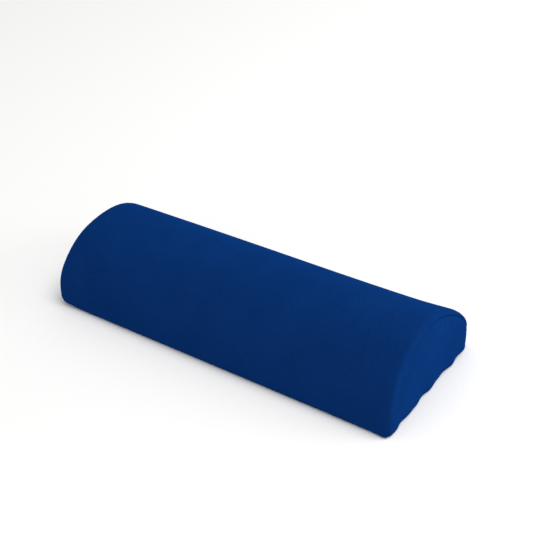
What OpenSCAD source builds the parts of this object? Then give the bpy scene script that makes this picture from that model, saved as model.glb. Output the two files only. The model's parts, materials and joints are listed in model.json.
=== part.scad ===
// Half-round bolster pillow: a moulded foam core in a sewn, zipped fabric cover.
// +Z is up, X runs along the bolster, and +Y points to the back, where the zip is.
// The origin is the middle of the underside. All sizes are in millimetres.

/* [Foam core] */
// Length of the foam core
core_length = 550; // [300:5:900]
// Width of the foam core across its flat base
core_width = 196; // [120:2:300]
// Height of the upright foot below the half-round arch
core_foot = 2; // [1:0.5:20]
// Radius of the core's rounded end edges
core_edge_r = 14; // [10:1:30]

/* [Cover] */
// Thickness of the cover fabric
fabric = 1.8; // [1.2:0.1:3]
// Gap between the core and the inside of the cover
ease = 0.2; // [0.1:0.05:1]
// How far each end seam sits in from the cover's outline
seam_inset = 6; // [3:0.5:10]
// Thickness of the sewing thread
thread = 0.5; // [0.3:0.1:0.8]

/* [Zip chain and tapes] */
// Height of the zip round the arch, as an angle above the arch's axis
zip_angle = 10; // [8:1:40]
// Distance along the bolster from each end of the fabric to the zip's chain
zip_end_margin = 37; // [30:1:80]
// Width of one tape, from the middle of the zip
tape_width = 15; // [12:0.5:20]
// Thickness of the tapes
tape_t = 0.6; // [0.4:0.1:0.9]
// Length of tape past each end of the chain
tape_tail = 13; // [8:1:14]
// Width of one coil
coil_width = 2.4; // [2:0.1:3]
// Height of the coils above the tapes
coil_height = 2.2; // [1.8:0.1:2.8]
// Distance from one coil turn to the next
coil_pitch = 1.6; // [1.2:0.1:2.4]
// Length of the stops at the ends of the chain
stop_length = 2.6; // [2:0.1:5]
// Distance from the fabric's folded edge to its row of stitches
stitch_inset = 2.5; // [1.5:0.5:4]

/* [Slider and pull] */
// Length of the slider
slider_length = 13.5; // [10:0.5:18]
// Thickness of the slider's upper and lower plates
plate_t = 1.1; // [0.8:0.1:1.5]
// Thickness of the slider's side flanges
flange_t = 1.4; // [1:0.1:2]
// Thickness of the post that joins the slider's plates and runs between the coils
post_t = 0.5; // [0.4:0.1:1.2]
// Clearance of the post from the coils and the tapes on each side
post_gap = 0.25; // [0.25:0.05:0.5]
// Clearance of the rest of the slider from the coils, the tapes and the stops
slide_gap = 0.35; // [0.3:0.05:0.6]
// Clearance of the fabric's folded edges from the slider
window_gap = 0.6; // [0.4:0.1:1.5]
// Width of the bridge that holds the pull
bridge_width = 2.4; // [2:0.1:3]
// Thickness of the bridge's posts and bar
bridge_t = 1.2; // [1:0.1:1.6]
// Length of the pull from its pivot
pull_length = 24; // [15:1:40]
// Width of the pull at its free end
pull_width = 7.5; // [7:0.5:12]
// Diameter of the hole in the pull's free end
pull_hole_d = 3.2; // [2:0.2:4]
// Thickness of the pull, and diameter of its pivot bar
pull_t = 1.2; // [1:0.1:1.6]
// Clearance of the pull from the slider and its bridge
pull_gap = 0.3; // [0.3:0.05:0.5]

/* [Hidden] */
$fn = 96;
over = 1; // how far cutting shapes run past what they cut
shell = fabric + ease;
core_r = core_width / 2;
axis_z = shell + core_foot; // height of the arch's axis
inner_r = core_r + ease;
outer_r = core_r + shell;
outer_edge_r = core_edge_r + shell;
cover_length = core_length + 2 * shell;
far = 2 * (cover_length + outer_r); // larger than the whole bolster

// The end seams lie on the rounded end edges, seam_inset below the outline.
seam_rise = outer_edge_r - seam_inset;
seam_x = cover_length / 2 - outer_edge_r + sqrt(pow(outer_edge_r, 2) - pow(seam_rise, 2));

// In the zip's own frame X runs along the chain, Y up the cover and Z outwards.
chain_half = cover_length / 2 - zip_end_margin;
tape_half = chain_half + tape_tail;
coil_half = chain_half - stop_length;
slot_half = post_t / 2 + post_gap; // half of the slot that the post runs in
coil_edge = slot_half + coil_width;
coil_top = inner_r + coil_height;
slider_half_w = coil_edge + slide_gap + flange_t;
window_half_w = slider_half_w + window_gap;
window_half_l = chain_half + window_gap;
stitch_y = window_half_w + stitch_inset;
tape_back = inner_r - tape_t;
lower_plate_top = tape_back - slide_gap;
lower_plate_z = lower_plate_top - plate_t;
upper_plate_z = coil_top + slide_gap;
upper_plate_top = upper_plate_z + plate_t;
post_length = 3; // along the chain

slider_front = coil_half - slide_gap; // where the slider's front stands when the zip is shut
slider_mid = slider_front - slider_length / 2;
slider_travel = 2 * coil_half - 2 * slide_gap - slider_length;

tunnel_half_l = pull_t / 2 + 2 * pull_gap;
tunnel_height = pull_t + 2 * pull_gap;
pivot_z = upper_plate_top + tunnel_height / 2;
bridge_half_l = tunnel_half_l + bridge_t;
bridge_height = tunnel_height + bridge_t;
bridge_reach = norm([bridge_half_l, bridge_height - tunnel_height / 2]); // from the pivot
eye_half_w = bridge_width / 2 + pull_gap;
eye_length = bridge_reach + pull_gap;
arm_width = 1.5;

cover_blue = [0.04, 0.17, 0.40];
tape_blue = [0.05, 0.14, 0.33];
thread_blue = [0.03, 0.12, 0.30];
foam_cream = [0.88, 0.80, 0.65];
metal_grey = [0.62, 0.63, 0.65];

// Right half of a rounded bar's outline, which turns about its straight side.
module bar_half(length, r, edge_r) {
    translate([0, -length / 2]) square([r - edge_r, length]);
    translate([0, -length / 2 + edge_r]) square([r, length - 2 * edge_r]);
    for (end = [-1, 1])
        translate([r - edge_r, end * (length / 2 - edge_r)]) circle(r = edge_r);
}

// The bar's whole outline as seen from above, along X.
module bar_plan(length, r, edge_r) {
    rotate(90) {
        bar_half(length, r, edge_r);
        mirror([1, 0]) bar_half(length, r, edge_r);
    }
}

// Half-round bar along X on a straight foot, with its arch's axis at z = axis_z.
module half_round(length, r, edge_r, foot) {
    translate([0, 0, axis_z]) {
        rotate([0, 90, 0]) rotate(90) rotate_extrude(angle = 180) bar_half(length, r, edge_r);
        translate([0, 0, -foot]) linear_extrude(foot) bar_plan(length, r, edge_r);
    }
}

// The bolster's shape, grown outwards by a distance from the core.
module grown(by, foot) {
    half_round(core_length + 2 * by, core_r + by, core_edge_r + by, foot);
}

// The layer of the cover's walls between two distances from the core, open underneath.
module wall_layer(inside, outside) {
    difference() {
        grown(outside, axis_z);
        grown(inside, axis_z + over);
    }
}

// Places what is drawn in the zip's own frame.
module zip_frame() {
    translate([0, 0, axis_z]) rotate([90 - zip_angle, 0, 180]) children();
}

// A box in the zip's frame: half length, lower and upper edge, lower and upper height.
module zip_box(half_l, y0, y1, z0, z1) {
    translate([-half_l, y0, z0]) cube([2 * half_l, y1 - y0, z1 - z0]);
}

// A strip of a tube round the arch's axis, cut to a band of the zip's frame.
module zip_strip(half_l, y0, y1, r0, r1) {
    intersection() {
        rotate([0, 90, 0]) difference() {
            cylinder(r = r1, h = 2 * half_l, center = true);
            cylinder(r = r0, h = 2 * half_l + 2 * over, center = true);
        }
        zip_box(half_l + over, y0, y1, r0 / 2, r1 + over);
    }
}

// The opening between the folded edges of the fabric.
module zip_window() {
    zip_frame() zip_box(window_half_l, -window_half_w, window_half_w, inner_r - fabric, outer_r + over);
}

module between_end_seams() {
    translate([-seam_x, -far / 2, -far / 2]) cube([2 * seam_x, far, far]);
}

module beyond_end_seam(end) {
    translate([end > 0 ? seam_x : -seam_x - far, -far / 2, -far / 2]) cube(far);
}

// The part of the rear wall below the zip's middle line.
module below_zip() {
    zip_frame() zip_box(far, -far, 0, 0, far);
}

module end_seam_run(end) {
    intersection() {
        wall_layer(ease, ease + thread);
        translate([end * seam_x, 0, far / 2]) cube([thread, far, far], center = true);
    }
}

module end_base_run(end) {
    translate([end * (core_length / 2 + ease - thread / 2), 0, fabric - thread / 2])
        cube([thread, core_width - 2 * core_edge_r, thread], center = true);
}

module front_run() {
    translate([0, -inner_r + thread / 2, fabric - thread / 2])
        cube([core_length - 2 * core_edge_r, thread, thread], center = true);
}

module rear_runs() {
    start = window_half_l;
    run = seam_x - thread - start - outer_edge_r;
    zip_frame() for (end = [-1, 1])
        translate([end * (start + run / 2), 0, inner_r + thread / 2])
            cube([run, thread, thread], center = true);
}

module stitch_run(side) {
    y = side * stitch_y;
    zip_frame() zip_strip(window_half_l, y - thread / 2, y + thread / 2, outer_r - thread, outer_r);
}

module foam_core() {
    color(foam_cream) difference() {
        grown(0, core_foot);
        // the foam gives way to the tapes and to the slider's lower plate
        zip_frame() {
            zip_strip(tape_half + over, -tape_width - over, tape_width + over,
                tape_back - ease, outer_r);
            zip_box(window_half_l, -window_half_w, window_half_w, lower_plate_z - slide_gap, outer_r);
        }
    }
}

module top_panel() {
    color(cover_blue) difference() {
        intersection() {
            wall_layer(ease, shell);
            between_end_seams();
        }
        below_zip();
        zip_window();
        for (end = [-1, 1]) end_seam_run(end);
        rear_runs();
        stitch_run(1);
    }
}

module base_panel() {
    color(cover_blue) difference() {
        union() {
            linear_extrude(fabric)
                bar_plan(core_length + 2 * ease, inner_r, core_edge_r + ease);
            intersection() {
                wall_layer(ease, shell);
                between_end_seams();
                below_zip();
            }
        }
        zip_window();
        for (end = [-1, 1]) {
            end_seam_run(end);
            end_base_run(end);
        }
        front_run();
        rear_runs();
        stitch_run(-1);
    }
}

module end_panel(end) {
    color(cover_blue) difference() {
        intersection() {
            wall_layer(ease, shell);
            beyond_end_seam(end);
        }
        end_seam_run(end);
    }
}

module end_seam_thread(end) {
    color(thread_blue) {
        end_seam_run(end);
        end_base_run(end);
    }
}

module front_seam_thread() {
    color(thread_blue) front_run();
}

module rear_seam_thread() {
    color(thread_blue) rear_runs();
}

module zip_stitching(side) {
    color(thread_blue) stitch_run(side);
}

module zip_tape(side) {
    color(tape_blue) zip_frame() zip_strip(tape_half,
        side > 0 ? slot_half : -tape_width, side > 0 ? tape_width : -slot_half, tape_back, inner_r);
}

// One coil, drawn as a comb whose teeth point to the middle of the zip.
module zip_coil(side) {
    turns = floor(2 * coil_half / coil_pitch);
    start = -turns * coil_pitch / 2;
    back = coil_edge - coil_width / 3;
    tooth = coil_pitch * 0.6;
    teeth = [for (i = [0:turns - 1], p = [[0, 0], [0, 1], [tooth, 1], [tooth, 0]])
        [start + i * coil_pitch + p[0], p[1] > 0 ? slot_half : back]];
    color(tape_blue) zip_frame() translate([0, 0, inner_r]) linear_extrude(coil_height)
        scale([1, side]) polygon(concat(teeth, [[start + turns * coil_pitch, back],
            [start + turns * coil_pitch, coil_edge], [start, coil_edge]]));
}

module zip_top_stops() {
    color(metal_grey) zip_frame() for (side = [-1, 1])
        translate([coil_half, side > 0 ? slot_half : -coil_edge - slide_gap, inner_r])
            cube([stop_length, coil_width + slide_gap, coil_height + slide_gap]);
}

module zip_bottom_stop() {
    color(metal_grey) zip_frame() translate([-chain_half, -coil_edge - slide_gap, inner_r])
        cube([stop_length, 2 * (coil_edge + slide_gap), coil_height + slide_gap]);
}

// A slider plate's outline: wide shoulders at the front, a narrower tail.
module slider_outline() {
    half_l = slider_length / 2;
    tail = slider_half_w - flange_t / 2;
    nose = slider_half_w / 2;
    polygon([
        [half_l, -nose], [half_l, nose], [half_l - nose, slider_half_w], [0, slider_half_w],
        [-half_l + 1, tail], [-half_l, tail - 1], [-half_l, 1 - tail], [-half_l + 1, -tail],
        [0, -slider_half_w], [half_l - nose, -slider_half_w]
    ]);
}

module bridge() {
    difference() {
        translate([-bridge_half_l, -bridge_width / 2, 0])
            cube([2 * bridge_half_l, bridge_width, bridge_height]);
        translate([-tunnel_half_l, -bridge_width, 0])
            cube([2 * tunnel_half_l, 2 * bridge_width, tunnel_height]);
    }
}

module zip_slider() {
    half_l = slider_length / 2;
    channel_half_w = coil_edge + slide_gap;
    flange_drop = upper_plate_z - inner_r - slide_gap;
    color(metal_grey) zip_frame() translate([slider_mid, 0, 0]) {
        translate([0, 0, lower_plate_z]) linear_extrude(plate_t) slider_outline();
        translate([0, 0, upper_plate_z]) linear_extrude(plate_t) slider_outline();
        // flanges under the upper plate, which hold the coils in
        translate([0, 0, upper_plate_z - flange_drop]) linear_extrude(flange_drop) difference() {
            slider_outline();
            square([slider_length + over, 2 * channel_half_w], center = true);
        }
        // post that joins the plates and parts the chain
        translate([half_l - post_length, -post_t / 2, lower_plate_z])
            cube([post_length, post_t, upper_plate_top - lower_plate_z]);
        translate([0, 0, upper_plate_top]) bridge();
    }
}

module zip_pull() {
    arm_half_w = eye_half_w + arm_width;
    neck = eye_length + bridge_t;
    tip = pull_length - pull_width / 2; // centre of the rounded end
    color(metal_grey) zip_frame() translate([slider_mid, 0, pivot_z]) {
        translate([0, 0, -pull_t / 2]) linear_extrude(pull_t) difference() {
            union() {
                polygon([
                    [0, -arm_half_w], [0, arm_half_w], [-neck, arm_half_w],
                    [-tip, pull_width / 2], [-tip, -pull_width / 2], [-neck, -arm_half_w]
                ]);
                translate([-tip, 0]) circle(d = pull_width);
            }
            translate([-eye_length, -eye_half_w]) square([eye_length + over, 2 * eye_half_w]);
            translate([-tip, 0]) circle(d = pull_hole_d);
        }
        // pivot bar, which runs through the bridge
        rotate([90, 0, 0]) cylinder(d = pull_t, h = 2 * arm_half_w, center = true);
    }
}

foam_core();
top_panel();
base_panel();
end_panel(-1);  // left_end_panel
end_panel(1);  // right_end_panel
end_seam_thread(-1);  // left_end_seam_thread
end_seam_thread(1);  // right_end_seam_thread
front_seam_thread();
rear_seam_thread();
zip_stitching(1);  // zip_upper_stitching
zip_stitching(-1);  // zip_lower_stitching
zip_tape(1);  // zip_upper_tape
zip_tape(-1);  // zip_lower_tape
zip_coil(1);  // zip_upper_coil
zip_coil(-1);  // zip_lower_coil
zip_top_stops();
zip_bottom_stop();
zip_slider();
zip_pull();
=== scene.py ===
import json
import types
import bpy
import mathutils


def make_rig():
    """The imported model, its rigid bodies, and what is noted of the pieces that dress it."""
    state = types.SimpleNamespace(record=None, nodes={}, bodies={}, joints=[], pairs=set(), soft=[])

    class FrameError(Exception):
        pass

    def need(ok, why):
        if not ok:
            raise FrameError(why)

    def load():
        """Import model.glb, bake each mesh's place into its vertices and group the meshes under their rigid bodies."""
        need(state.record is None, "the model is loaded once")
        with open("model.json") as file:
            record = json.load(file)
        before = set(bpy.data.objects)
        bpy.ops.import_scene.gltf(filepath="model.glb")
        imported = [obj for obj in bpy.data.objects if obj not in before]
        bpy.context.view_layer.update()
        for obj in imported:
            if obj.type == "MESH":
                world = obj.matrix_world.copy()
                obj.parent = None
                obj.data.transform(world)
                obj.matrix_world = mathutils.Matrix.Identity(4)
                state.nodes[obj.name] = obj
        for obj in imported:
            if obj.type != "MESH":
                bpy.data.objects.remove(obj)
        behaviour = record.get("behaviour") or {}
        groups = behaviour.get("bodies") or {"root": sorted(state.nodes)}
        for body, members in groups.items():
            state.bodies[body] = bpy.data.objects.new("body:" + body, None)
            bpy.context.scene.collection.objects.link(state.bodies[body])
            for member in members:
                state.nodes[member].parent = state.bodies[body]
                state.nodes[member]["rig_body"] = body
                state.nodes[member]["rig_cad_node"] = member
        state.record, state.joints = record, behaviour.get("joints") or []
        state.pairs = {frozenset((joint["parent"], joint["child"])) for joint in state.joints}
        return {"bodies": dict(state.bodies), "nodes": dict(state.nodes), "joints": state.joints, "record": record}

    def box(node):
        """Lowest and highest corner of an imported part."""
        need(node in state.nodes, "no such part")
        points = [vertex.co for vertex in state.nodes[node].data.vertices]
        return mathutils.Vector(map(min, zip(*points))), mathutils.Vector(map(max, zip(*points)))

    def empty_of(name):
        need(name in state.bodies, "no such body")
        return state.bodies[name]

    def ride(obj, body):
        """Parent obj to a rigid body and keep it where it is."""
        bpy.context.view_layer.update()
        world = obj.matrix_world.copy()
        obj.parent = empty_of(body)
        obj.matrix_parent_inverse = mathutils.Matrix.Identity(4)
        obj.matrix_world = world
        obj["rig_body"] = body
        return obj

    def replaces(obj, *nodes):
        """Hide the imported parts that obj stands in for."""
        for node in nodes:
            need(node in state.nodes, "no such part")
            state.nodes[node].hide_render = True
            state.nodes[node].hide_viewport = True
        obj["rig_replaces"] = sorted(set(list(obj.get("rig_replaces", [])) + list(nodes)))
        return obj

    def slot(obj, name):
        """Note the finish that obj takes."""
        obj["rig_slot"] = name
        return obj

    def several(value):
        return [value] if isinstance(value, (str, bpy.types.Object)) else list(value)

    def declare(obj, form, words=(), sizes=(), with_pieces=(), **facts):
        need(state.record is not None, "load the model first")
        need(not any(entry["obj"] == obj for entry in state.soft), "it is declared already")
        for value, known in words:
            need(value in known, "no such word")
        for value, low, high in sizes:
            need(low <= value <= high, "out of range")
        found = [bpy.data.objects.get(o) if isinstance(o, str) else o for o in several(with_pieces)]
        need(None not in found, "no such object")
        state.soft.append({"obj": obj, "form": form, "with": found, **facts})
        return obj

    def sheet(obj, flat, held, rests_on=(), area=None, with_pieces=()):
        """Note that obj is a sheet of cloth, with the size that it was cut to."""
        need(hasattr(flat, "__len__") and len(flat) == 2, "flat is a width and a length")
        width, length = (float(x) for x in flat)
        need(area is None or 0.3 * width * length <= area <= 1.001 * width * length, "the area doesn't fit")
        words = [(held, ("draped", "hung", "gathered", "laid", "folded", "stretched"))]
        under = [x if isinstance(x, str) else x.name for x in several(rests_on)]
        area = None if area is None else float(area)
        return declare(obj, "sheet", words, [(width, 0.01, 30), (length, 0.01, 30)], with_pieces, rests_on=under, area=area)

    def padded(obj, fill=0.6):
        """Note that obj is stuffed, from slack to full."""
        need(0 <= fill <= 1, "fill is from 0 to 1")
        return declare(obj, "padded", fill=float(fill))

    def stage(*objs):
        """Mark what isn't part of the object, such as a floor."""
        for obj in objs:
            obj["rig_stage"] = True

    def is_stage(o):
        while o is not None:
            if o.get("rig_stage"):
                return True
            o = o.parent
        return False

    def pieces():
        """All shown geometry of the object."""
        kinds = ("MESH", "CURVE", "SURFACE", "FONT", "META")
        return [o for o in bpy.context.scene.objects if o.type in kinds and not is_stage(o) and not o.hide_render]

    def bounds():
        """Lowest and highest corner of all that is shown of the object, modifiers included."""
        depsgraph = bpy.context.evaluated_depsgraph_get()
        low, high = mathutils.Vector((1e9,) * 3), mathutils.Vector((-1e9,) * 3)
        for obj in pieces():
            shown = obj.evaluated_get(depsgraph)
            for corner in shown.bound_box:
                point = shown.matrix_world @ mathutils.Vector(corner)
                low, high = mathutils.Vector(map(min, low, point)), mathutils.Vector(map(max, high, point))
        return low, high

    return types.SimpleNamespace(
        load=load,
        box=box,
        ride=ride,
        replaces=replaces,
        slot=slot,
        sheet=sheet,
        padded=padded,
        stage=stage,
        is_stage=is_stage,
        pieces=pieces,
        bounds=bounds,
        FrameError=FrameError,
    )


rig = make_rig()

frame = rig.load()

# Half-round bolster pillow: a foam core in a sewn cover of brushed knit, closed by a zip low on the back.
# Metres, +Z up, X along the bolster, +Y to the back, origin in the middle of the underside.

import json
import math

import bmesh
import bpy
import numpy as np
from mathutils import Matrix, Vector
from mathutils.kdtree import KDTree

cad_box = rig.bounds()
bpy.ops.object.select_all(action="DESELECT")
nodes = frame["nodes"]
mm = 0.001

# ---------------------------------------------------------------- sizes, from the frame

hinge = next(j for j in frame["joints"] if j["name"] == "pull_hinge")
pivot = Vector(hinge["pos_m"])
zip_angle = math.asin(-hinge["axis"][1])
axis_z = pivot.z - pivot.y * math.tan(zip_angle)  # height of the arch's axis

cover_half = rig.box("right_end_panel")[1].x
cover_radius = -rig.box("top_panel")[0].y
seam_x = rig.box("top_panel")[1].x
chain_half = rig.box("zip_bottom_stop")[1].x

cover_edge = 16 * mm  # rounded end edges of the cover
lower_edge = 2.2 * mm  # rounded edge between walls and base
fabric = 1.5 * mm
ease = 0.4 * mm  # between the fabric and the foam
seam_roll = 3.1 * mm  # radius of the fabric's turn into an end seam
fold_roll = 1.7 * mm  # the same at the other seams and at the zip
window_half_l = chain_half + 0.6 * mm  # the zip shows through a window between the folded edges
window_half_w = 5.25 * mm
stitch_from_zip = window_half_w + 2.5 * mm
thread_sink = 0.3 * mm  # how much higher than the bottom of its seam a thread lies
foam_edge = 10 * mm  # rounded lower edge of the foam, which clears the seams at the foot
most_swell = 6 * mm  # of the cloth under air
front_slip = 10 * mm  # how far the right end's seam sits on the end face, at the front
edge_power = 0.45  # crispness of the right end's front edge: 1 leaves it a quarter circle
weld_gap = 0.001 * mm

tape_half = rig.box("zip_upper_tape")[1].x
coil_half = -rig.box("zip_top_stops")[1].x  # the top stops stand at the -X end
coil_pitch = 1.6 * mm
coil_width = 2.4 * mm
coil_height = 2.2 * mm
coil_clear = 0.28 * mm  # from the middle of the zip


# ---------------------------------------------------------------- camera, lights and floor

def aimed(at, towards, roll=0.0):
    """A matrix for a camera or light at one point, looking at another, rolled by some degrees."""
    look = (Vector(towards) - Vector(at)).to_track_quat("-Z", "Y").to_matrix().to_4x4()
    return Matrix.Translation(at) @ look @ Matrix.Rotation(math.radians(roll), 4, "Z")


def make_camera():
    azimuth, elevation = math.radians(42.9), math.radians(38.4)
    distance, target, roll = 1.579, (-0.0103, 0.0527, 0.0575), -8.24
    data = bpy.data.cameras.new("camera")
    data.lens = 77.4
    camera = bpy.data.objects.new("camera", data)
    place = distance * Vector((
        math.sin(azimuth) * math.cos(elevation),
        -math.cos(azimuth) * math.cos(elevation),
        math.sin(elevation),
    ))
    camera.matrix_world = aimed(place, target, roll)
    bpy.context.scene.collection.objects.link(camera)
    bpy.context.scene.camera = camera


def make_light(name, place, size, power, colour):
    data = bpy.data.lights.new(name, "AREA")
    data.shape = "DISK"
    data.size = size
    data.energy = power
    data.color = colour
    light = bpy.data.objects.new(name, data)
    light.matrix_world = aimed(place, (0, 0, 0.05))
    bpy.context.scene.collection.objects.link(light)


def make_studio():
    scene = bpy.context.scene
    scene.view_settings.view_transform = "Standard"
    world = bpy.data.worlds.new("studio")
    world.use_nodes = True
    background = world.node_tree.nodes["Background"]
    background.inputs["Color"].default_value = (1, 1, 1, 1)
    background.inputs["Strength"].default_value = 0.62
    scene.world = world
    make_light("key", (1.5, 0.7, 3.8), 2.4, 84, (1.0, 0.99, 0.97))
    make_light("end_fill", (1.7, 0.8, 0.6), 1.0, 10, (0.97, 0.99, 1.0))

    bpy.ops.mesh.primitive_plane_add(size=12, location=(0, 0, -0.2 * mm))
    floor = bpy.context.object
    floor.name = "floor"
    floor.data.materials.append(floor_paper())
    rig.stage(floor)
    floor.select_set(False)


# ---------------------------------------------------------------- materials

def new_material(name, roughness, **sockets):
    """A material and its node tree, with the shader's constant values set."""
    material = bpy.data.materials.new(name)
    material.use_nodes = True
    tree = material.node_tree
    shader = tree.nodes["Principled BSDF"]
    shader.inputs["Roughness"].default_value = roughness
    for socket, value in sockets.items():
        shader.inputs[socket.replace("_", " ")].default_value = value
    return material, tree, shader


def add_node(tree, kind, inputs=None, **settings):
    """A node with its settings, and its inputs set to values or linked to sockets."""
    node = tree.nodes.new("ShaderNode" + kind)
    for key, value in settings.items():
        setattr(node, key, value)
    for key, value in (inputs or {}).items():
        if isinstance(value, bpy.types.NodeSocket):
            tree.links.new(value, node.inputs[key])
        else:
            node.inputs[key].default_value = value
    return node


def coordinates(tree, output, scale=(1, 1, 1), rotation=(0, 0, 0)):
    source = add_node(tree, "TexCoord").outputs[output]
    inputs = {"Vector": source, "Scale": scale, "Rotation": rotation}
    return add_node(tree, "Mapping", inputs).outputs["Vector"]


def noise(tree, where, scale, detail=3.0, roughness=0.6):
    inputs = {"Vector": where, "Scale": scale, "Detail": detail, "Roughness": roughness}
    return add_node(tree, "TexNoise", inputs).outputs["Fac"]


def ramp(tree, factor, stops):
    """Colours or greys between places from 0 to 1."""
    node = add_node(tree, "ValToRGB", {"Fac": factor})
    elements = node.color_ramp.elements
    while len(elements) < len(stops):
        elements.new(0.5)
    for element, (place, value) in zip(elements, stops):
        element.position = place
        element.color = (*value, 1) if isinstance(value, tuple) else (value, value, value, 1)
    return node.outputs["Color"]


def maths(tree, operation, a, b=0.0, c=0.0):
    return add_node(tree, "Math", {0: a, 1: b, 2: c}, operation=operation).outputs["Value"]


def mixed(tree, *shares):
    """The sum of values, each times its share."""
    total = 0.0
    for value, share in shares:
        total = maths(tree, "MULTIPLY_ADD", value, share, total)
    return total


def bump(tree, height, distance, strength=1.0, under=None):
    inputs = {"Height": height, "Distance": distance, "Strength": strength}
    if under is not None:
        inputs["Normal"] = under
    return add_node(tree, "Bump", inputs).outputs["Normal"]


def floor_paper():
    material, tree, shader = new_material("floor_paper", 0.9)
    fibres = noise(tree, coordinates(tree, "Object"), 180)
    colour = ramp(tree, fibres, [(0.3, 0.955), (0.7, 0.975)])
    tree.links.new(colour, shader.inputs["Base Color"])
    return material


def brushed_knit():
    """Royal blue brushed jersey: ribs of tiny loops under a short nap, a little uneven in tone."""
    material, tree, shader = new_material("brushed_knit", 0.92, Specular_IOR_Level=0.0)
    shader.inputs["Sheen Weight"].default_value = 0.15
    shader.inputs["Sheen Roughness"].default_value = 0.5
    shader.inputs["Sheen Tint"].default_value = (0.0, 0.15, 0.75, 1)
    rib_pitch, loop_pitch = 1.3, 1.0  # in millimetres, as the pattern's coordinates are
    parts = add_node(tree, "SeparateXYZ", {"Vector": coordinates(tree, "UV", scale=(1000, 1000, 1))})
    # each rib is a column of loops, whose two legs lean together
    rib = maths(tree, "COSINE", maths(tree, "MULTIPLY", parts.outputs["X"], 2 * math.pi / rib_pitch))
    loop_turns = maths(tree, "MULTIPLY", parts.outputs["Y"], 2 * math.pi / loop_pitch)
    loop = maths(tree, "SINE", mixed(tree, (loop_turns, 1), (rib, 1.6)))
    knit = mixed(tree, (rib, 0.5), (loop, 0.3))
    where = coordinates(tree, "Object")
    nap = noise(tree, where, 900, detail=4)
    grain = noise(tree, where, 330, detail=3)
    clouds = noise(tree, where, 16, detail=4)
    tone = mixed(tree, (knit, 0.10), (nap, 0.4), (grain, 0.45), (clouds, 0.35))
    dark, light = (0.0018, 0.018, 0.094), (0.0040, 0.037, 0.176)
    colour = ramp(tree, tone, [(0.30, dark), (0.90, light)])
    tree.links.new(colour, shader.inputs["Base Color"])
    soft = bump(tree, nap, 0.25 * mm, 0.7)
    tree.links.new(bump(tree, knit, 0.12 * mm, 0.8, soft), shader.inputs["Normal"])
    return material


def moulded_foam():
    material, tree, shader = new_material("moulded_foam", 0.85, Subsurface_Weight=0.15)
    shader.inputs["Subsurface Radius"].default_value = (0.004, 0.003, 0.002)
    where = coordinates(tree, "Object")
    blotches = noise(tree, where, 22, detail=5)
    colour = ramp(tree, blotches, [(0.3, (0.70, 0.57, 0.37)), (0.7, (0.80, 0.69, 0.48))])
    tree.links.new(colour, shader.inputs["Base Color"])
    cells = add_node(tree, "TexVoronoi", {"Vector": where, "Scale": 700}).outputs["Distance"]
    tree.links.new(bump(tree, cells, 0.3 * mm, 0.5), shader.inputs["Normal"])
    return material


def spun_thread():
    material, tree, shader = new_material("spun_thread", 0.75, Specular_IOR_Level=0.05)
    where = coordinates(tree, "Object")
    fibres = noise(tree, where, 2500, detail=2)
    colour = ramp(tree, fibres, [(0.3, (0.0025, 0.022, 0.11)), (0.7, (0.006, 0.045, 0.20))])
    tree.links.new(colour, shader.inputs["Base Color"])
    tree.links.new(bump(tree, fibres, 0.1 * mm, 0.6), shader.inputs["Normal"])
    return material


def herringbone_tape():
    """Woven tape: narrow columns of diagonal ribs that change direction from one column to the next."""
    material, tree, shader = new_material("herringbone_tape", 0.7, Sheen_Weight=0.1)
    upright = (zip_angle - math.pi / 2, 0, 0)
    turned = coordinates(tree, "Object", scale=(1000, 1000, 1000), rotation=upright)
    parts = add_node(tree, "SeparateXYZ", {"Vector": turned})
    column_width, rib_pitch = 1.2, 0.9  # in millimetres
    column = maths(tree, "PINGPONG", parts.outputs["Y"], column_width)
    diagonal = maths(tree, "ADD", parts.outputs["X"], column)
    ribs = maths(tree, "SINE", maths(tree, "MULTIPLY", diagonal, 2 * math.pi / rib_pitch))
    shade = maths(tree, "MULTIPLY_ADD", ribs, 0.25, 0.5)
    colour = ramp(tree, shade, [(0.2, (0.003, 0.020, 0.09)), (0.8, (0.006, 0.038, 0.16))])
    tree.links.new(colour, shader.inputs["Base Color"])
    tree.links.new(bump(tree, ribs, 0.12 * mm, 0.8), shader.inputs["Normal"])
    return material


def nylon_coil():
    material, tree, shader = new_material("nylon_coil", 0.38, Coat_Weight=0.1)
    where = coordinates(tree, "Object")
    streaks = noise(tree, where, 600, detail=2)
    colour = ramp(tree, streaks, [(0.3, (0.003, 0.020, 0.09)), (0.7, (0.006, 0.034, 0.14))])
    tree.links.new(colour, shader.inputs["Base Color"])
    tree.links.new(bump(tree, streaks, 0.05 * mm, 0.3), shader.inputs["Normal"])
    return material


def nickel_plate():
    material, tree, shader = new_material("nickel_plate", 0.3, Metallic=1.0)
    where = coordinates(tree, "Object", scale=(400, 2500, 2500))
    scratches = noise(tree, where, 1.0, detail=6)
    tarnish = noise(tree, coordinates(tree, "Object"), 250, detail=3)
    colour = ramp(tree, tarnish, [(0.35, (0.50, 0.49, 0.46)), (0.65, (0.70, 0.69, 0.66))])
    tree.links.new(colour, shader.inputs["Base Color"])
    rough = ramp(tree, scratches, [(0.3, 0.22), (0.7, 0.42)])
    tree.links.new(rough, shader.inputs["Roughness"])
    tree.links.new(bump(tree, scratches, 0.02 * mm, 0.4), shader.inputs["Normal"])
    return material


# ---------------------------------------------------------------- the shape of a half-round bar

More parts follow.
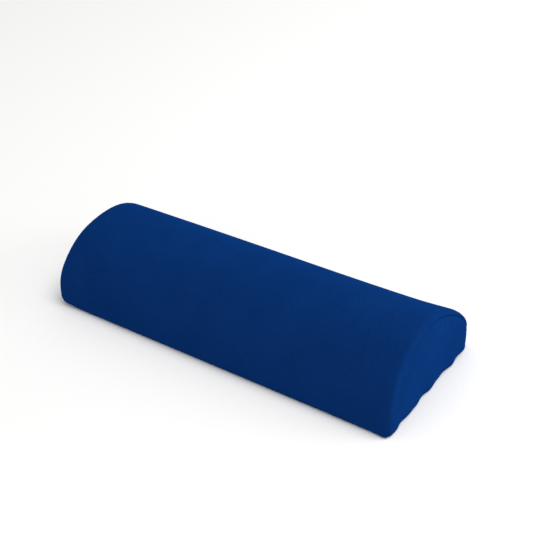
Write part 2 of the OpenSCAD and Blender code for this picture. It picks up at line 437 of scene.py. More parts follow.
class Bar:
    """A half-round bar along X with rounded end edges, an upright foot and a rounded lower edge.

    A point on its side has two distances: "run" goes from the middle along the bar, over the end edge and
    in to the middle of the end face, and "girth" goes from the front of the base over the arch to its back.
    """

    def __init__(self, half, radius, edge, lower, axis):
        self.half, self.radius, self.edge, self.lower, self.axis = half, radius, edge, lower, axis
        self.straight = half - edge
        self.face_run = self.straight + edge * math.pi / 2  # where the flat end face starts
        self.pole_run = self.face_run + radius - edge
        self.lower_arc = lower * math.pi / 2
        self.arch_start = self.lower_arc + axis - lower
        self.full_girth = 2 * self.arch_start + math.pi * radius

    def profile(self, run):
        """Place along X, radius of the arch and turn of the end edge, at a run."""
        away = np.abs(run)
        turn = np.clip((away - self.straight) / self.edge, 0, math.pi / 2)
        x = np.minimum(away, self.straight) + self.edge * np.sin(turn)
        radius = self.radius - self.edge * (1 - np.cos(turn)) - np.maximum(away - self.face_run, 0)
        return np.sign(run) * x, radius, np.sign(run) * turn

    def side(self, run, girth):
        """Points and outward normals of the side at a grid of runs and girths."""
        x, radius, turn = self.profile(run)
        back = np.where(girth > self.full_girth / 2, 1.0, -1.0)
        from_base = np.minimum(girth, self.full_girth - girth)
        # below the arch: the lower edge, then the upright foot
        bend = np.clip(from_base / self.lower, 0, math.pi / 2)
        inset = self.lower * (1 - np.sin(bend))
        height = self.lower * (1 - np.cos(bend)) + np.maximum(from_base - self.lower_arc, 0)
        foot = np.stack([
            x - inset * np.sin(turn), back * (radius - inset * np.cos(turn)), height], axis=-1)
        foot_normal = np.stack([
            np.sin(turn) * np.sin(bend), back * np.cos(turn) * np.sin(bend), -np.cos(bend)], axis=-1)
        # the arch
        angle = np.clip((girth - self.arch_start) / self.radius, 0, math.pi)
        arch = np.stack([x, -radius * np.cos(angle), self.axis + radius * np.sin(angle)], axis=-1)
        arch_normal = np.stack([
            np.sin(turn), -np.cos(turn) * np.cos(angle), np.cos(turn) * np.sin(angle)], axis=-1)
        low = (from_base < self.arch_start)[..., None]
        return np.where(low, foot, arch), np.where(low, foot_normal, arch_normal)

    def base(self, runs, shares):
        """Points and normals of the flat base, where a share goes from -1 at its front to 1 at its back."""
        run, share = np.meshgrid(runs, shares, indexing="ij")
        x, radius, turn = self.profile(run)
        points = np.stack([
            x - self.lower * np.sin(turn), share * (radius - self.lower * np.cos(turn)), 0 * x], axis=-1)
        return points, np.broadcast_to([0.0, 0.0, -1.0], points.shape)


def spaced(start, stop, step):
    return np.linspace(start, stop, max(2, round(abs(stop - start) / step) + 1))


def coordinates_of(mesh):
    points = np.zeros(len(mesh.vertices) * 3)
    mesh.vertices.foreach_get("co", points)
    return points.reshape(-1, 3)


def face_list(shape, flip=False, leave_out=None):
    """Corner indices of a grid's four-sided faces."""
    index = np.arange(shape[0] * shape[1]).reshape(shape)
    corners = [index[:-1, :-1], index[1:, :-1], index[1:, 1:], index[:-1, 1:]]
    faces = np.stack(corners[::-1] if flip else corners, axis=-1).reshape(-1, 4)
    return faces if leave_out is None else faces[~leave_out.reshape(-1)]


def build_mesh(name, patches):
    """One mesh from grids of (points, uv, faces), welded where they meet."""
    points = np.concatenate([p.reshape(-1, 3) for p, _, _ in patches])
    uvs = np.concatenate([u.reshape(-1, 2) for _, u, _ in patches])
    starts = np.cumsum([0] + [p.shape[0] * p.shape[1] for p, _, _ in patches])
    faces = np.concatenate([f + start for (_, _, f), start in zip(patches, starts)])
    mesh = bpy.data.meshes.new(name)
    mesh.from_pydata(points.tolist(), [], faces.tolist())
    mesh.uv_layers.new(name="flat").data.foreach_set("uv", uvs[faces.ravel()].astype(np.float32).ravel())
    work = bmesh.new()
    work.from_mesh(mesh)
    bmesh.ops.delete(work, geom=[v for v in work.verts if not v.link_faces], context="VERTS")
    bmesh.ops.remove_doubles(work, verts=work.verts, dist=weld_gap)
    work.to_mesh(mesh)
    work.free()
    piece = bpy.data.objects.new(name, mesh)
    bpy.context.scene.collection.objects.link(piece)
    return piece


def resample(field, old, new):
    """A field known at the old places, smoothly interpolated at the new ones along its first axis."""
    n = np.clip(np.searchsorted(old, new) - 1, 0, len(old) - 2)
    gap = old[n + 1] - old[n]
    t = (new - old[n]) / gap
    slope = np.gradient(field, old, axis=0)
    wide = (slice(None),) + (None,) * (field.ndim - 1)
    t, gap = t[wide], gap[wide]
    return (
        (1 + 2 * t) * (1 - t) ** 2 * field[n] + t * (1 - t) ** 2 * gap * slope[n]
        + t ** 2 * (3 - 2 * t) * field[n + 1] + t ** 2 * (t - 1) * gap * slope[n + 1]
    )


def resample_grid(field, old_rows, old_columns, rows, columns):
    down = resample(field, old_rows, rows)
    return np.swapaxes(resample(np.swapaxes(down, 0, 1), old_columns, columns), 0, 1)


def smoothstep(value, low, high):
    t = np.clip((value - low) / (high - low), 0, 1)
    return t * t * (3 - 2 * t)


cover = Bar(cover_half, cover_radius, cover_edge, lower_edge, axis_z)
seam_run = cover.straight + cover.edge * math.asin((seam_x - cover.straight) / cover.edge)
zip_girth = cover.full_girth - cover.arch_start - cover.radius * zip_angle
window_girth = cover.radius * math.asin(window_half_w / cover.radius)  # half the zip window's height
stitch_girth = cover.radius * math.asin(stitch_from_zip / cover.radius)
coil_bottom = cover.radius - 1.8 * mm  # the tapes' outer face
zip_y = cover.radius * math.cos(zip_angle)
zip_z = cover.axis + cover.radius * math.sin(zip_angle)


# ---------------------------------------------------------------- the cover's shape, blown up as cloth

def closed_places(step):
    """Rows and columns of a closed grid: runs and girths of the side, runs and shares of the base."""
    half_count = round((cover.radius - cover.edge) / step)
    shares = np.linspace(-1, 1, 2 * half_count + 1)
    body = np.concatenate([
        spaced(0, cover.straight, step)[:-1], spaced(cover.straight, cover.face_run, 0.9 * step)])
    face = cover.pole_run - (cover.radius - cover.edge) * shares[half_count:-1][::-1]
    half = np.concatenate([body, face])
    runs = np.concatenate([-half[:0:-1], half])
    foot = [0, cover.lower_arc / 2, cover.lower_arc, cover.arch_start]
    arch = spaced(cover.arch_start, cover.full_girth - cover.arch_start, step)
    girths = np.concatenate([foot[:-1], arch, cover.full_girth - np.array(foot[-2::-1])])
    return runs, girths, runs[np.abs(runs) < cover.face_run + weld_gap], shares


def blow_up(form, held, drawn_in, frames=20):
    """Cloth simulation of a closed cover with air in it, which gives the moved points."""
    for name, weights in (("held", held), ("drawn_in", drawn_in)):
        group = form.vertex_groups.new(name=name)
        for index, weight in enumerate(weights):
            if weight > 0:
                group.add([index], float(weight), "REPLACE")
    cloth = form.modifiers.new("Cloth", "CLOTH")
    settings = cloth.settings
    settings.quality = 6
    settings.mass = 0.3
    settings.tension_stiffness = 30
    settings.compression_stiffness = 30
    settings.shear_stiffness = 15
    settings.bending_stiffness = 3
    settings.use_pressure = True
    settings.uniform_pressure_force = 4
    settings.vertex_group_mass = "held"
    settings.vertex_group_shrink = "drawn_in"
    settings.shrink_min = 0
    settings.shrink_max = 0.004
    settings.effector_weights.gravity = 0
    cloth.point_cache.frame_end = frames
    scene = bpy.context.scene
    scene.frame_end = frames
    for number in range(1, frames + 1):
        scene.frame_set(number)
    moved = coordinates_of(form.evaluated_get(bpy.context.evaluated_depsgraph_get()).data)
    scene.frame_set(1)
    return moved


def swelling():
    """How far the cloth moves each coarse point of the side, and those points' runs and girths."""
    runs, girths, base_runs, shares = closed_places(5.5 * mm)
    side, _ = cover.side(*np.meshgrid(runs, girths, indexing="ij"))
    base, _ = cover.base(base_runs, shares)
    patches = [
        (side, side[..., :2], face_list(side.shape[:2])),
        (base, base[..., :2], face_list(base.shape[:2], flip=True)),
    ]
    form = build_mesh("cloth_form", patches)
    start = coordinates_of(form.data)
    held = start[:, 2] < 0.5 * mm
    at_seam = np.abs(np.abs(start[:, 0]) - seam_x) < 3 * mm
    drawn_in = at_seam & (start[:, 2] > 5 * mm)
    moves = blow_up(form, held, drawn_in) - start
    size = np.linalg.norm(moves, axis=1, keepdims=True) + 1e-9
    moves *= most_swell * np.tanh(size / most_swell) / size
    bpy.data.objects.remove(form)
    tree = KDTree(len(start))
    for index, point in enumerate(start):
        tree.insert(point, index)
    tree.balance()
    found = [tree.find(point)[1] for point in side.reshape(-1, 3)]
    return moves[found].reshape(side.shape), runs, girths


cloth_moves, cloth_runs, cloth_girths = swelling()


def near(points, centre, reach):
    """1 at a centre given in millimetres, falling smoothly to 0 round it."""
    away = (points - np.array(centre) * mm) / (np.array(reach) * mm)
    return np.exp(-(away ** 2).sum(-1, keepdims=True))


# Where the cover sits unevenly on its core, in millimetres: centre, reach each way, and move.
uneven_places = (
    ((-275, -90, 32), (30, 42, 42), (-7.0, -1.5, 0.5)),  # left front corner, pulled out
    ((-282, -98, 0), (30, 28, 15), (-3.0, 0.0, 5.5)),  # and lifted at its foot
    ((-270, 0, 100), (35, 45, 30), (3.0, 0.0, -2.6)),  # left shoulder, a little low
    ((276, 88, 48), (34, 40, 34), (6.0, 6.0, 1.5)),  # rear right shoulder, full
    ((273, -78, 42), (16, 48, 52), (3.0, 0.0, 0.0)),  # front of the right end
    ((276, -99, 0), (11, 11, 12), (0.8, -1.6, 0.0)),  # right front corner
    ((150, 66, 80), (170, 50, 45), (0.0, -0.9, -1.2)),  # back slope, a little flat
)


def shaped_by_use(points):
    """Moves the cover where it is uneven, spreads its front foot, and slackens its right end's foot."""
    move = np.zeros(points.shape)
    for centre, reach, most in uneven_places:
        move = move + near(points, centre, reach) * np.array(most)
    x, y, z = points[..., 0] / mm, points[..., 1] / mm, points[..., 2] / mm
    foot_spread, slack_lift = 0.8, 0.4
    move[..., 1] -= foot_spread * smoothstep(-y, 60, 95) * np.exp(-(z / 14) ** 2)
    slack = smoothstep(x, 255, 274) * np.exp(-(z / 18) ** 2) * (1 - smoothstep(y, 62, 92))
    wave = 1.1 * np.sin(2 * math.pi * y / 47 + 0.9) + 0.5 * np.sin(2 * math.pi * y / 27 + 2.1)
    move[..., 0] += slack * wave
    lift = slack_lift - slack_lift * np.cos(2 * math.pi * y / 58 + 0.8)
    move[..., 2] += slack * lift * smoothstep(x, 262, 276)
    move[..., 2] = np.maximum(move[..., 2], -z)  # nothing goes below what the bolster lies on
    return points + move * mm


def eased(points, moves=0.0):
    """Points of the cover moved by air and by use, but not beside the zip, where the fabric lies flat."""
    aside = np.maximum(np.abs(points[..., 0]) - window_half_l, 0)
    from_zip = np.sqrt(aside ** 2 + (points[..., 1] - zip_y) ** 2 + (points[..., 2] - zip_z) ** 2)
    held_flat, fully_free = 10 * mm, 34 * mm
    free = smoothstep(from_zip, held_flat, fully_free)[..., None]
    moved = shaped_by_use(points + moves * free)
    return points + (moved - points) * free


def crisper(turn):
    """How much further along and outwards a crisper end edge stands than the rounded one, at each turn."""
    along = cover.edge * (np.sin(turn) ** edge_power - np.sin(turn))
    outwards = cover.edge * (np.cos(turn) ** edge_power - np.cos(turn))
    return along, outwards


def cover_surface(runs, girths):
    """The cover's outer surface and its normals, over a grid of runs and girths."""
    run, girth = np.meshgrid(runs, girths, indexing="ij")
    # the right end's cover is a little turned: its front edge is crisper, with the seam on the end face
    arch = np.degrees(np.clip((girth - cover.arch_start) / cover.radius, 0, math.pi))
    front = 1 - smoothstep(arch, 80, 135)
    slip = front_slip * front * smoothstep(arch, 0, 28) * np.exp(-((run - seam_run) / (22 * mm)) ** 2)
    points, normals = cover.side(run + slip, girth)
    along, outwards = crisper(np.clip((run + slip - cover.straight) / cover.edge, 0, math.pi / 2))
    arch = np.radians(arch)
    outwards = front * outwards
    shift = np.stack([front * along, -outwards * np.cos(arch), outwards * np.sin(arch)], axis=-1)
    moves = resample_grid(cloth_moves, cloth_runs, cloth_girths, runs, girths)
    return eased(points + shift, moves), normals


def base_surface(runs, shares):
    """The flat base's surface and normals, over a grid of runs and shares of its width."""
    points, normals = cover.base(runs, shares)
    run, share = np.meshgrid(runs, shares, indexing="ij")
    along, outwards = crisper(np.clip((run - cover.straight) / cover.edge, 0, math.pi / 2))
    front = smoothstep(-share, 0.2, 1.0)
    return eased(points + np.stack([front * along, -front * outwards, 0 * run], axis=-1)), normals


def rolled(distance, roll=fold_roll):
    """How deep the fabric has turned in at a distance from its edge."""
    left = roll - np.clip(distance, 0, roll)
    return roll - np.sqrt(roll ** 2 - left ** 2)


def seam_dip(distance, along, pucker, roll=fold_roll, pull=0.9 * mm, welt=0.6 * mm):
    """Depth of the fabric beside a sewn seam: its roll, the thread's pull, the welt and the puckers."""
    pull_reach, pucker_reach, welt_place, welt_width = 5 * mm, 8 * mm, 3.4 * mm, 1.6 * mm
    pulled = pull * np.exp(-distance / pull_reach)
    turns = 2 * math.pi * along / mm  # the puckers' pitches are in millimetres
    ripple = np.sin(turns / 11.5) + 0.6 * np.sin(turns / 17.3 + 1.3)
    uneven = 0.6 + 0.4 * np.sin(turns / 71 + 0.7)
    fade = np.exp(-distance / pucker_reach) * smoothstep(distance, 0, 2.5 * mm)
    raised = welt * np.exp(-((distance - welt_place) / welt_width) ** 2)
    return np.maximum(rolled(distance, roll), pulled) - raised + pucker * ripple * uneven * fade


def graded(start, stop, step, fine_start=True, fine_stop=True):
    """Places from start to stop, close together where the fabric rolls into a seam at either end."""
    close = seam_roll * (1 - np.cos(np.radians([0, 22.5, 45, 67.5, 90])))
    close = np.append(close, 2 * seam_roll)
    first = start + close if fine_start else np.array([start])
    last = stop - close[::-1] if fine_stop else np.array([stop])
    return np.concatenate([first, spaced(first[-1], last[0], step)[1:-1], last])


def window_rows():
    """Runs of the top panel and the base: fine at the end seams and at the ends of the zip window."""
    end = graded(window_half_l, seam_run, 3 * mm)
    middle = graded(-window_half_l, window_half_l, 3 * mm, False, False)
    return np.concatenate([-end[:0:-1], middle, end[1:]])


def window_distance(run, girth):
    return np.hypot(np.maximum(np.abs(run) - window_half_l, 0),
                    np.maximum(np.abs(girth - zip_girth) - window_girth, 0))


def rear_seam_distance(run, girth):
    return np.hypot(np.maximum(window_half_l - np.abs(run), 0), girth - zip_girth)


def stitch_channel(run, girth):
    """Depth of the groove that the zip's rows of stitches press into the fabric."""
    beside = np.hypot(np.maximum(np.abs(run) - window_half_l, 0), np.abs(girth - zip_girth) - stitch_girth)
    return 0.35 * mm * np.exp(-(beside / (1.1 * mm)) ** 2)


def side_patch(runs, girths, dip, window=False):
    """A grid of the side, pushed in by a depth that dip gives from run and girth."""
    points, normals = cover_surface(runs, girths)
    run, girth = np.meshgrid(runs, girths, indexing="ij")
    points = points - normals * dip(run, girth)[..., None]
    leave_out = None
    if window:
        middle_run = (runs[1:] + runs[:-1])[:, None] / 2
        middle_girth = (girths[1:] + girths[:-1])[None, :] / 2
        leave_out = (np.abs(middle_run) < window_half_l) & (np.abs(middle_girth - zip_girth) < window_girth)
    return points, np.stack([run, girth], axis=-1), face_list(points.shape[:2], leave_out=leave_out)


def apply_modifiers(piece):
    bpy.context.view_layer.objects.active = piece
    piece.select_set(True)
    for modifier in list(piece.modifiers):
        bpy.ops.object.modifier_apply(modifier=modifier.name)
    piece.select_set(False)


def give_wall(piece):
    """Turns a sheet into fabric with a thickness, inside its outer face."""
    wall = piece.modifiers.new("wall", "SOLIDIFY")
    wall.thickness = fabric
    wall.offset = -1
    apply_modifiers(piece)


def finish_piece(piece, body, slot, material, *replaced, angle=55):
    """Shades a piece, gives it its material, and says what it rides on and replaces."""
    bpy.context.view_layer.objects.active = piece
    piece.select_set(True)
    bpy.ops.object.shade_smooth_by_angle(angle=math.radians(angle))
    piece.select_set(False)
    piece.data.materials.clear()
    piece.data.materials.append(material)
    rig.ride(piece, body)
    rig.slot(piece, slot)
    if replaced:
        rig.replaces(piece, *replaced)
    return piece


def top_panel(knit):
    runs = window_rows()
    girths = np.concatenate([
        graded(0, zip_girth - window_girth, 2.2 * mm),
        graded(zip_girth - window_girth, zip_girth, 2 * mm, fine_start=False)[1:]])

    def dip(run, girth):
        ends = seam_dip(seam_run - np.abs(run), girth, 0.35 * mm, seam_roll)
        front = seam_dip(girth, run, 0.2 * mm)
        rear = np.maximum(rolled(rear_seam_distance(run, girth)), rolled(window_distance(run, girth)))
        return np.maximum(np.maximum(ends, front), rear) + stitch_channel(run, girth)

    piece = build_mesh("cover_top_panel", [side_patch(runs, girths, dip, window=True)])
    give_wall(piece)
    return finish_piece(piece, "bolster", "cover_fabric", knit, "top_panel")


def end_panel(end, name, knit):
    girths = np.concatenate([
        graded(0, cover.full_girth / 2, 2.2 * mm, fine_stop=False),
        graded(cover.full_girth / 2, cover.full_girth, 2.2 * mm, fine_start=False)[1:]])
    runs = graded(seam_run, cover.pole_run, 2.5 * mm, fine_stop=False)

    def dip(run, girth):
        arch = seam_dip(np.abs(run) - seam_run, girth, 0.45 * mm, seam_roll, pull=2.2 * mm, welt=0)
        across = np.where(girth < cover.full_girth / 2, -1, 1) * np.maximum(cover.pole_run - np.abs(run), 0)
        foot = seam_dip(np.minimum(girth, cover.full_girth - girth), across, 0.3 * mm)
        return np.maximum(arch, foot)

    points, _, faces = side_patch(runs if end > 0 else -runs[::-1], girths, dip)
    piece = build_mesh(name, [(points, points[..., 1:], faces)])
    give_wall(piece)
    return finish_piece(piece, "bolster", "cover_fabric", knit, name.replace("cover_", ""))


def base_panel(knit):
    runs = window_rows()
    corner = graded(seam_run, cover.face_run, 2.5 * mm, fine_start=False)
    plate_runs = np.concatenate([-corner[:0:-1], runs, corner[1:]])
    width = cover.radius - cover.lower
    shares = graded(-width, width, 3 * mm) / width
    girths = np.concatenate([
        graded(zip_girth, zip_girth + window_girth, 2 * mm, fine_stop=False),
        graded(zip_girth + window_girth, cover.full_girth, 2 * mm, fine_stop=False)[1:]])

    def dip(run, girth):
        ends = seam_dip(seam_run - np.abs(run), girth, 0.3 * mm, seam_roll)
        rear = np.maximum(rolled(rear_seam_distance(run, girth)), rolled(window_distance(run, girth)))
        low = smoothstep(cover.full_girth - girth, 0, 1.5 * cover.lower_arc)
        ends = np.maximum(rolled(seam_run - np.abs(run)), ends * low)
        return np.maximum(ends, rear) + stitch_channel(run, girth)

    strip = side_patch(runs, girths, dip, window=True)
    points, _ = base_surface(plate_runs, shares)
    run, share = np.meshgrid(plate_runs, shares, indexing="ij")
    ends = rolled(cover.face_run - np.abs(run))
    front = rolled((1 + share) * width)
    rear = rolled(np.hypot(np.maximum(seam_run - np.abs(run), 0), (1 - share) * width))
    flat = np.stack([points[..., 0], cover.full_girth + width - points[..., 1]], axis=-1)
    points[..., 2] += np.maximum(np.maximum(ends, front), rear)
    plate = (points, flat, face_list(points.shape[:2], flip=True))
    piece = build_mesh("cover_base_panel", [strip, plate])
    give_wall(piece)
    return finish_piece(piece, "bolster", "cover_fabric", knit, "base_panel")


# ---------------------------------------------------------------- foam core

def foam_hollows(points, run):
    """How far the foam is pressed in by the tight end seams and by the zip."""
    x, y, z = np.abs(points[..., 0]), points[..., 1], points[..., 2]
    seam_hollow, tape_hollow, slider_groove = 3.2 * mm, 1.2 * mm, 3.5 * mm
    from_seam = np.abs(run) - seam_run
    depth = seam_hollow * np.exp(-(from_seam / (8 * mm)) ** 2) * smoothstep(z, 1 * mm, 8 * mm)
    from_zip = np.abs(np.arctan2(z - cover.axis, y) - zip_angle) * cover.radius
    at_tapes = tape_hollow * (1 - smoothstep(from_zip, 17 * mm, 22 * mm))
    at_slider = slider_groove * (1 - smoothstep(from_zip, 5 * mm, 8.5 * mm))
    beside_tapes = 1 - smoothstep(x, tape_half + 4 * mm, tape_half + 10 * mm)
    short_of_ends = 1 - smoothstep(x, seam_x - 8 * mm, seam_x)
    return depth + (y > 0) * (beside_tapes * at_tapes + short_of_ends * at_slider)


def round_foot(points, from_edge, outwards, on_base):
    """Moves points near the foam's lower edge on to a rounding, which its wall and its base share."""
    away = np.clip(from_edge / foam_edge, 0, 1)
    angle = math.pi / 4 * (1 + away if on_base else 1 - away)
    inwards = foam_edge * (1 - np.cos(angle) - (away if on_base else 0))
    upwards = foam_edge * (1 - np.sin(angle) - (0 if on_base else away))
    moved = points - outwards * inwards[..., None]
    moved[..., 2] += upwards
    return moved


def foam_side(runs, girths, press_in):
    """The foam's wall, arch and end faces, pressed in by a depth that depends on the place."""
    run, girth = np.meshgrid(runs, girths, indexing="ij")
    plain, _ = cover.side(run, girth)
    moved, normals = cover_surface(runs, girths)
    turn = cover.profile(run)[2]
    back = np.where(girth > cover.full_girth / 2, 1, -1)
    outwards = np.stack([np.sin(turn), back * np.cos(turn), 0 * turn], axis=-1)
    moved = moved - normals * press_in(plain, run)[..., None]
    points = round_foot(moved, plain[..., 2] - fabric - ease, outwards, on_base=False)
    # the arch comes to one point in the middle of each end face
    arch = np.abs(girths - cover.full_girth / 2) < cover.full_girth / 2 - cover.arch_start + weld_gap
    for end in (0, -1):
        points[end, arch] = points[end, arch].mean(axis=0)
    return points


def foam_base(runs, shares, press_in):
    """The foam's flat base, pressed in by a depth that depends on the place."""
    run, share = np.meshgrid(runs, shares, indexing="ij")
    plain, _ = cover.base(runs, shares)
    moved, normals = base_surface(runs, shares)
    _, radius, turn = cover.profile(run)
    outwards = np.stack([np.sin(turn), share * np.cos(turn), 0 * turn], axis=-1)
    from_side = (1 - np.abs(share)) * (radius - cover.lower * np.cos(turn))
    from_end = cover.half - cover.lower - np.abs(plain[..., 0])
    moved = moved - normals * press_in(plain, run)[..., None]
    return round_foot(moved, np.minimum(from_side, from_end), outwards, on_base=True)


def foam_core(foam):
    runs, girths, base_runs, shares = closed_places(3 * mm)
    beside_zip = zip_girth + np.array([-8.5, -6.5, -5, 0, 5, 6.5, 8.5]) * mm
    away = np.abs(girths[:, None] - beside_zip[None, :]).min(1)
    girths = np.sort(np.concatenate([girths[away > 1 * mm], beside_zip]))
    chance, pit_count = np.random.default_rng(7), 90
    sites = cover.side(*np.meshgrid(runs, girths, indexing="ij"))[0].reshape(-1, 3)
    pits = sites[chance.choice(len(sites), pit_count, replace=False)]
    widths = chance.uniform(1.6, 3.6, pit_count) * mm

    def press_in(plain, run):
        depth = fabric + ease + foam_hollows(plain, run)
        for pit, width in zip(pits, widths):
            away = ((plain - pit) ** 2).sum(-1)
            depth = depth + 0.45 * width * np.exp(-away / width ** 2)
        return depth

    side = foam_side(runs, girths, press_in)
    base = foam_base(base_runs, shares, press_in)
    piece = build_mesh("moulded_foam_core", [
        (side, side[..., :2], face_list(side.shape[:2])),
        (base, base[..., :2], face_list(base.shape[:2], flip=True)),
    ])
    finish_piece(piece, "bolster", "foam", foam, "foam_core", angle=80)
    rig.padded(piece, fill=1)


# ---------------------------------------------------------------- stitches

def new_stitch(length, width):
    """One stitch of thread along X: thick in the middle, dipping into the fabric at both ends."""
    bpy.ops.mesh.primitive_uv_sphere_add(segments=8, ring_count=6, radius=0.5, rotation=(0, math.pi / 2, 0))
    stitch = bpy.context.object
    bpy.ops.object.mode_set(mode="EDIT")
    bpy.ops.transform.resize(value=(length, width, 0.9 * width))
    bpy.ops.object.mode_set(mode="OBJECT")
    bpy.ops.object.transform_apply(location=True, rotation=True, scale=True)
    stitch.select_set(False)
    return stitch


def copies_along(shape, name, points, outs):
    """Copies of a shape at points, lying along the line that the points make, joined into one piece."""
    ahead = np.gradient(points, axis=0)
    copies = []
    for point, along, out in zip(points, ahead, outs):
        along = Vector(along).normalized()
        across = Vector(out).cross(along).normalized()
        turn = Matrix((along, across, along.cross(across))).transposed().to_4x4()
        copy = bpy.data.objects.new(name, shape.data.copy())
        copy.data.transform(Matrix.Translation(point) @ turn)
        bpy.context.scene.collection.objects.link(copy)
        copies.append(copy)
    for copy in copies:
        copy.select_set(True)
    bpy.context.view_layer.objects.active = copies[0]
    bpy.ops.object.join()
    copies[0].select_set(False)
    return copies[0]


def stitch_line(runs, girths, depth):
    """Places of stitches on the side, sunk by a depth, where either runs or girths is a single value."""
    points, outs = cover_surface(np.atleast_1d(runs), np.atleast_1d(girths))
    points, outs = points.reshape(-1, 3), outs.reshape(-1, 3)
    return points - outs * depth, outs


def finish_row(rows, name, thread, node):
    """Joins rows of stitches into the piece that stands for one thread."""
    if len(rows) > 1:
        bpy.context.view_layer.objects.active = rows[0]
        for row in rows:
            row.select_set(True)
        bpy.ops.object.join()
        rows[0].select_set(False)
    rows[0].name = name
    finish_piece(rows[0], "bolster", "thread", thread, node, angle=80)


def stitch_rows(thread):
    stitch = new_stitch(length=2.9 * mm, width=0.5 * mm)
    pitch = 3.3 * mm
    seam_depth, fold_depth = seam_roll - thread_sink, fold_roll - thread_sink
    for end, name in ((-1, "left_end_seam_stitches"), (1, "right_end_seam_stitches")):
        arch = stitch_line(end * seam_run, spaced(2 * mm, cover.full_girth - 2 * mm, pitch), seam_depth)
        reach = cover.radius - cover.edge
        y = spaced(-reach, reach, pitch)
        low = np.stack([0 * y + end * (cover.half - cover.lower), y, 0 * y], axis=-1)
        low = eased(low) + np.array([0, 0, fold_depth])
        rows = [copies_along(stitch, name, *arch),
                copies_along(stitch, name, low, np.tile([0.0, 0.0, -1.0], (len(low), 1)))]
        finish_row(rows, name, thread, name.replace("stitches", "thread"))
    front_x = spaced(-cover.straight, cover.straight, pitch)
    front = stitch_line(front_x, 0, fold_depth)
    finish_row([copies_along(stitch, "front", *front)], "front_seam_stitches", thread, "front_seam_thread")
    beyond_zip = spaced(window_half_l + 2 * mm, seam_run - 3 * mm, pitch)
    rear = [stitch_line(end * beyond_zip, zip_girth, fold_depth) for end in (-1, 1)]
    rows = [copies_along(stitch, "rear", *line) for line in rear]
    finish_row(rows, "rear_seam_stitches", thread, "rear_seam_thread")
    zip_runs = spaced(-window_half_l, window_half_l, pitch)
    for side, name in ((-1, "zip_upper_stitching"), (1, "zip_lower_stitching")):
        row = stitch_line(zip_runs, zip_girth + side * stitch_girth, 0.25 * mm)
        finish_row([copies_along(stitch, name, *row)], "sewn_" + name, thread, name)
    bpy.data.objects.remove(stitch)


# ---------------------------------------------------------------- zip

def zip_place():
    """From the zip's own frame, with X along the chain, Y up the cover and Z outwards, to the bolster's."""
    turn = Matrix.Rotation(math.pi, 4, "Z") @ Matrix.Rotation(math.pi / 2 - zip_angle, 4, "X")
    return Matrix.Translation((0, 0, axis_z)) @ turn


def zip_coil(side, name, nylon, node):
    """A helix of nylon wire, turned from a small ring by a screw and pressed a little flat."""
    turns = int(2 * coil_half / coil_pitch)
    wire = 0.33 * mm
    bpy.ops.mesh.primitive_circle_add(
        vertices=6, radius=wire, fill_type="NOTHING", location=(0, 0, 0), rotation=(math.pi / 2, 0, 0))
    coil = bpy.context.object
    bpy.ops.object.transform_apply(location=False, rotation=True, scale=True)
    bpy.ops.object.mode_set(mode="EDIT")
    bpy.ops.transform.translate(value=(0, 0, coil_width / 2 - wire))
    bpy.ops.object.mode_set(mode="OBJECT")
    screw = coil.modifiers.new("turns", "SCREW")
    screw.axis = "X"
    screw.screw_offset = coil_pitch
    screw.iterations = turns
    screw.steps = screw.render_steps = 8
    apply_modifiers(coil)
    # the wire's two open ends are closed
    coil.select_set(True)
    bpy.ops.object.mode_set(mode="EDIT")
    bpy.ops.mesh.select_all(action="SELECT")
    bpy.ops.mesh.remove_doubles(threshold=weld_gap)
    bpy.ops.mesh.select_all(action="DESELECT")
    bpy.ops.mesh.select_non_manifold()
    bpy.ops.mesh.edge_face_add()
    bpy.ops.mesh.select_all(action="SELECT")
    bpy.ops.transform.resize(value=(1, 1, coil_height / coil_width), center_override=(0, 0, 0))
    bpy.ops.mesh.normals_make_consistent(inside=False)
    bpy.ops.object.mode_set(mode="OBJECT")
    coil.select_set(False)
    start = -turns * coil_pitch / 2 + (coil_pitch / 4 if side > 0 else 0)
    across = side * (coil_clear + coil_width / 2)
    coil.data.transform(zip_place() @ Matrix.Translation((start, across, coil_bottom + coil_height / 2)))
    coil.name = name
    return finish_piece(coil, "bolster", "zip_coil", nylon, node, angle=80)


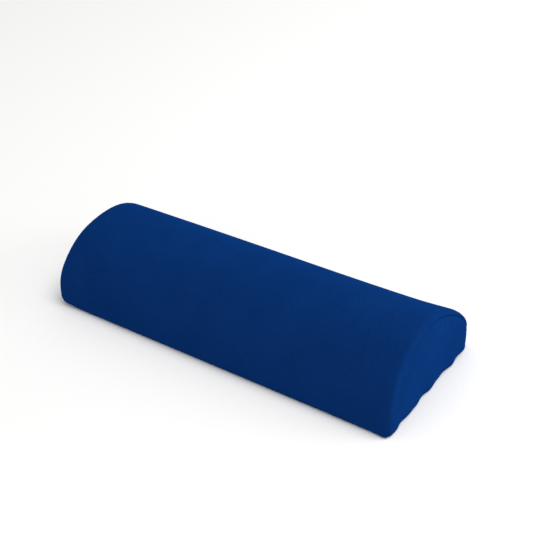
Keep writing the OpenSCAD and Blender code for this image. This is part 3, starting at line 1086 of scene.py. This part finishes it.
def bevelled_copy(node, name, body, slot, material, width):
    """A CAD part's shape with its edges rounded off."""
    piece = bpy.data.objects.new(name, nodes[node].data.copy())
    bpy.context.scene.collection.objects.link(piece)
    bpy.context.view_layer.objects.active = piece
    piece.select_set(True)
    bpy.ops.object.mode_set(mode="EDIT")
    bpy.ops.mesh.select_all(action="SELECT")
    bpy.ops.mesh.remove_doubles(threshold=weld_gap)
    bpy.ops.mesh.dissolve_limited(angle_limit=math.radians(1))
    bpy.ops.object.mode_set(mode="OBJECT")
    piece.select_set(False)
    bevel = piece.modifiers.new("edges", "BEVEL")
    bevel.width = width
    bevel.segments = 3
    bevel.limit_method = "ANGLE"
    bevel.angle_limit = math.radians(40)
    apply_modifiers(piece)
    return finish_piece(piece, body, slot, material, node, angle=35)


def zip_parts():
    tape = herringbone_tape()
    for node in ("zip_upper_tape", "zip_lower_tape"):
        nodes[node].data.materials.clear()
        nodes[node].data.materials.append(tape)
    nylon = nylon_coil()
    zip_coil(1, "upper_coil", nylon, "zip_upper_coil")
    zip_coil(-1, "lower_coil", nylon, "zip_lower_coil")
    nickel = nickel_plate()
    for node, name, body, width in (
        ("zip_slider", "slider_body", "slider", 0.3 * mm),
        ("zip_pull", "pull_tab", "pull", 0.3 * mm),
        ("zip_top_stops", "top_stops", "bolster", 0.4 * mm),
        ("zip_bottom_stop", "bottom_stop", "bolster", 0.5 * mm),
    ):
        bevelled_copy(node, name, body, "zip_metal", nickel, width)


# ---------------------------------------------------------------- everything in its place

def declare_sheets(top, base, ends):
    """Says what size each panel is cut to, inside its seams."""
    below_zip = cover.full_girth - zip_girth
    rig.sheet(top, flat=(2 * seam_run, zip_girth), held="stretched", rests_on=["moulded_foam_core"])
    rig.sheet(base, flat=(2 * cover.half, 2 * cover.radius + below_zip), held="stretched",
             rests_on=["moulded_foam_core"])
    half_disc = math.pi * cover.radius ** 2 / 2
    for end in ends:
        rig.sheet(end, flat=(2 * cover.radius, cover.radius + cover.axis), held="stretched",
                 rests_on=["moulded_foam_core"], area=half_disc)


make_camera()
make_studio()
knit = brushed_knit()
foam_core(moulded_foam())
declare_sheets(
    top_panel(knit), base_panel(knit),
    (end_panel(1, "cover_right_end_panel", knit), end_panel(-1, "cover_left_end_panel", knit)))
stitch_rows(spun_thread())
zip_parts()

with open("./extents.json", "w") as file:
    json.dump({"cad": [list(corner) for corner in cad_box], "visual": [list(c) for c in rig.bounds()]}, file)
